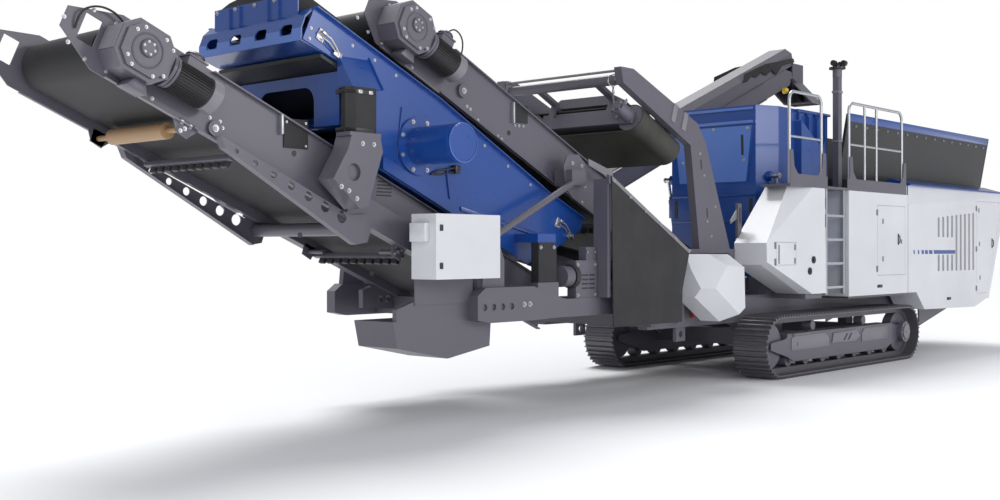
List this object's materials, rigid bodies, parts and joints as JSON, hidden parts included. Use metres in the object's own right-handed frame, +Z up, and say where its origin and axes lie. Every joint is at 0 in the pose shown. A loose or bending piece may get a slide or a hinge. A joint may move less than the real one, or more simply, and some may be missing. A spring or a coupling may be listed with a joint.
{
  "type": "tracked mobile crusher",
  "caption": "Crawler-mounted crushing plant: feed hopper, crusher, discharge conveyor with cross-belt magnet, inclined screen, fines conveyor and slewing return conveyor.",
  "frame": {"origin": "on the ground, half-way along the machine and midway between the tracks", "axes": "+X towards the feed hopper, +Y towards the far side with the return conveyor, +Z up"},
  "size_m": [15.93, 2.6, 4.5531],
  "materials": {
    "track_steel": "worn dark steel",
    "grey_paint": "satin grey",
    "blue_paint": "gloss blue",
    "white_paint": "satin white",
    "belt_rubber": "matt",
    "dark_rubber": "matt",
    "dark_plate": "matt dark",
    "tan_paint": "tan",
    "galvanised": "galvanised",
    "bare_steel": "bare steel"
  },
  "bodies": {
    "machine": {"track_near": "track_steel", "track_far": "track_steel", "track_frame_near": "grey_paint", "track_frame_far": "grey_paint", "track_wheels_near": "grey_paint", "track_wheels_far": "grey_paint", "chassis_frame": "grey_paint", "frame_posts": "grey_paint", "hood_floor": "grey_paint", "screen_chassis": "grey_paint", "screen_mounts": "dark_rubber", "screen_box": "blue_paint", "screen_deck": "bare_steel", "crusher_casing": "blue_paint", "discharge_pan": "bare_steel", "feeder_trough": "dark_plate", "front_cabinet": "white_paint", "side_cabinet": "white_paint", "power_hood": "white_paint", "hood_cover": "blue_paint", "engine_block": "grey_paint", "corner_cover": "white_paint", "side_curtain": "dark_rubber", "control_cabinet": "white_paint", "belt_guard_box": "grey_paint", "fines_arms": "grey_paint", "screen_struts": "grey_paint", "platform": "grey_paint", "railings": "galvanised", "ladder": "galvanised", "mast_lamp": "grey_paint", "magnet_frame": "grey_paint", "magnet_body": "grey_paint", "magnet_belt": "belt_rubber", "fines_frame": "grey_paint", "snub_roller": "tan_paint", "fines_belt": "belt_rubber", "fines_drive": "grey_paint", "discharge_frame": "grey_paint", "discharge_belt": "belt_rubber", "discharge_drive": "grey_paint", "cross_frame": "grey_paint", "cross_belt": "belt_rubber", "cross_drive": "grey_paint", "belt_rollers": "grey_paint"},
    "control_door": {"control_door": "white_paint"},
    "front_cabinet_door": {"front_cabinet_door": "white_paint"},
    "side_cabinet_door": {"side_cabinet_door": "white_paint"},
    "hood_door": {"hood_door": "white_paint"},
    "hopper_near": {"hopper_wall_near": "dark_plate"},
    "hopper_far": {"hopper_wall_far": "dark_plate"},
    "hopper_rear": {"hopper_wall_rear": "dark_plate"},
    "return_conveyor": {"return_frame": "grey_paint", "return_belt": "belt_rubber", "return_rollers": "grey_paint", "return_hood": "grey_paint"},
    "crusher_lid": {"crusher_lid": "blue_paint"},
    "lid_barrels": {"lid_cylinder_barrels": "grey_paint"},
    "lid_rods": {"lid_cylinder_rods": "bare_steel"},
    "rotor": {"crusher_rotor": "bare_steel"}
  },
  "joints": [
    {"name": "control_door_hinge", "type": "hinge", "parent": "machine", "child": "control_door", "pos_m": [-4.245, -1.188, 1.52], "axis": [0, 0, 1], "range_deg": [0, 110]},
    {"name": "front_cabinet_door_hinge", "type": "hinge", "parent": "machine", "child": "front_cabinet_door", "pos_m": [0.441, -1.25, 1.31], "axis": [0, 0, -1], "range_deg": [0, 110]},
    {"name": "side_cabinet_door_hinge", "type": "hinge", "parent": "machine", "child": "side_cabinet_door", "pos_m": [3.121, -1.25, 1.15], "axis": [0, 0, -1], "range_deg": [0, 110]},
    {"name": "hood_door_hinge", "type": "hinge", "parent": "machine", "child": "hood_door", "pos_m": [6.621, -1.25, 0.82], "axis": [0, 0, -1], "range_deg": [0, 110]},
    {"name": "hopper_near_fold", "type": "hinge", "parent": "machine", "child": "hopper_near", "pos_m": [2.915, -0.76, 2.43], "axis": [-1, 0, 0], "range_deg": [0, 65]},
    {"name": "hopper_far_fold", "type": "hinge", "parent": "machine", "child": "hopper_far", "pos_m": [2.915, 0.76, 2.43], "axis": [1, 0, 0], "range_deg": [0, 65]},
    {"name": "hopper_rear_fold", "type": "hinge", "parent": "machine", "child": "hopper_rear", "pos_m": [7.965, 0, 2.43], "axis": [0, 1, 0], "range_deg": [0, 90]},
    {"name": "return_slew", "type": "hinge", "parent": "machine", "child": "return_conveyor", "pos_m": [-2.285, 0.95, 1.12], "axis": [0, 0, 1], "range_deg": [0, 100]},
    {"name": "crusher_lid_hinge", "type": "hinge", "parent": "machine", "child": "crusher_lid", "pos_m": [1.085, 0, 2.22], "axis": [0, -1, 0], "range_deg": [0, 55]},
    {"name": "lid_barrel_tilt", "type": "hinge", "parent": "machine", "child": "lid_barrels", "pos_m": [1.465, 0, 1.6], "axis": [0, -1, 0], "range_deg": [0, 12.94]},
    {"name": "lid_rod_slide", "type": "slide", "parent": "lid_barrels", "child": "lid_rods", "axis": [-0.2425, 0, 0.9701], "range_m": [0, 0.1459]},
    {"name": "rotor_spin", "type": "hinge", "parent": "machine", "child": "rotor", "pos_m": [1.895, 0, 1.72], "axis": [0, 1, 0], "continuous": true}
  ],
  "couplings": [
    {"joint": "lid_barrel_tilt", "follows": "crusher_lid_hinge", "ratio": 0.21708},
    {"joint": "lid_rod_slide", "follows": "crusher_lid_hinge", "m_per_rad": 0.14992}
  ]
}
